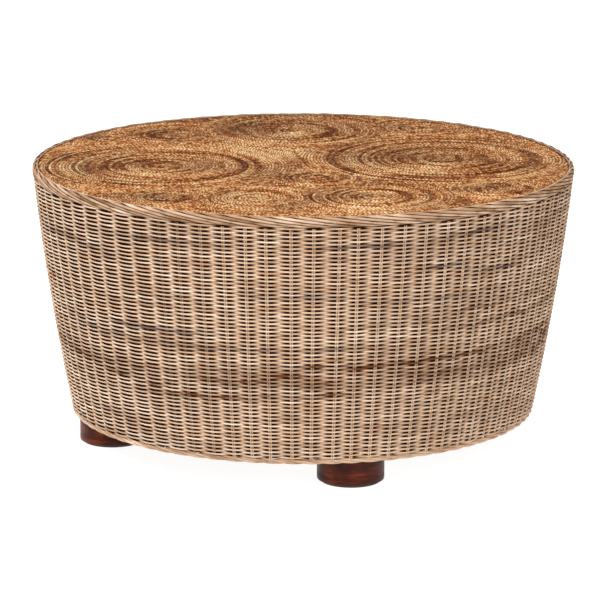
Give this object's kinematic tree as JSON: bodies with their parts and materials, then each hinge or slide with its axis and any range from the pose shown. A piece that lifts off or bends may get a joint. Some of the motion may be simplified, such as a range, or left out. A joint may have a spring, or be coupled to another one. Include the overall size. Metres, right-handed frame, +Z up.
{
  "type": "coffee table",
  "caption": "Round wicker coffee table: tapered woven cane side, mosaic top of coiled natural rope, short turned wooden feet.",
  "frame": {"origin": "on the floor, under the centre of the round top", "axes": "+Z up, -Y the front; the feet stand on the X and Y axes"},
  "size_m": [0.8203, 0.8204, 0.4191],
  "materials": {
    "seagrass_rope": "twisted natural fibre rope, golden brown",
    "wicker": "woven round cane, grey beige, semi matt",
    "cane_stake": "peeled cane, semi matt",
    "foot_wood": "stained mahogany, satin varnish",
    "frame_wood": "planed softwood",
    "dowel_wood": "smooth hardwood",
    "plywood": "sanded plywood",
    "cane_pole": "peeled cane pole",
    "glide": "matt",
    "steel": "zinc plated"
  },
  "bodies": {
    "root": {"block_screws": "steel", "border_brads": "steel", "bottom_border": "wicker", "bottom_hoop": "cane_pole", "bottom_rail_x": "frame_wood", "bottom_rail_y": "frame_wood", "coil_back": "seagrass_rope", "coil_back_left": "seagrass_rope", "coil_back_right": "seagrass_rope", "coil_far_left": "seagrass_rope", "coil_front": "seagrass_rope", "coil_front_left": "seagrass_rope", "coil_front_middle": "seagrass_rope", "coil_front_right": "seagrass_rope", "coil_left": "seagrass_rope", "coil_middle": "seagrass_rope", "coil_right": "seagrass_rope", "foot_back": "foot_wood", "foot_block_back": "frame_wood", "foot_block_front": "frame_wood", "foot_block_left": "frame_wood", "foot_block_right": "frame_wood", "foot_front": "foot_wood", "foot_left": "foot_wood", "foot_right": "foot_wood", "glide_back": "glide", "glide_front": "glide", "glide_left": "glide", "glide_right": "glide", "glide_screws": "steel", "hanger_bolts": "steel", "infill_rope": "seagrass_rope", "lap_dowels": "dowel_wood", "middle_hoop": "cane_pole", "middle_hoop_screws": "steel", "panel_screws": "steel", "rail_end_screws": "steel", "side_stakes": "cane_stake", "side_weave": "wicker", "tee_nuts": "steel", "top_border": "wicker", "top_hoop": "cane_pole", "top_panel": "plywood", "top_rail_x": "frame_wood", "top_rail_y": "frame_wood", "top_wale": "wicker", "upright_1": "cane_pole", "upright_2": "cane_pole", "upright_3": "cane_pole", "upright_4": "cane_pole", "upright_5": "cane_pole", "upright_6": "cane_pole", "upright_7": "cane_pole", "upright_8": "cane_pole", "upright_screws": "steel"}
  },
  "joints": []
}
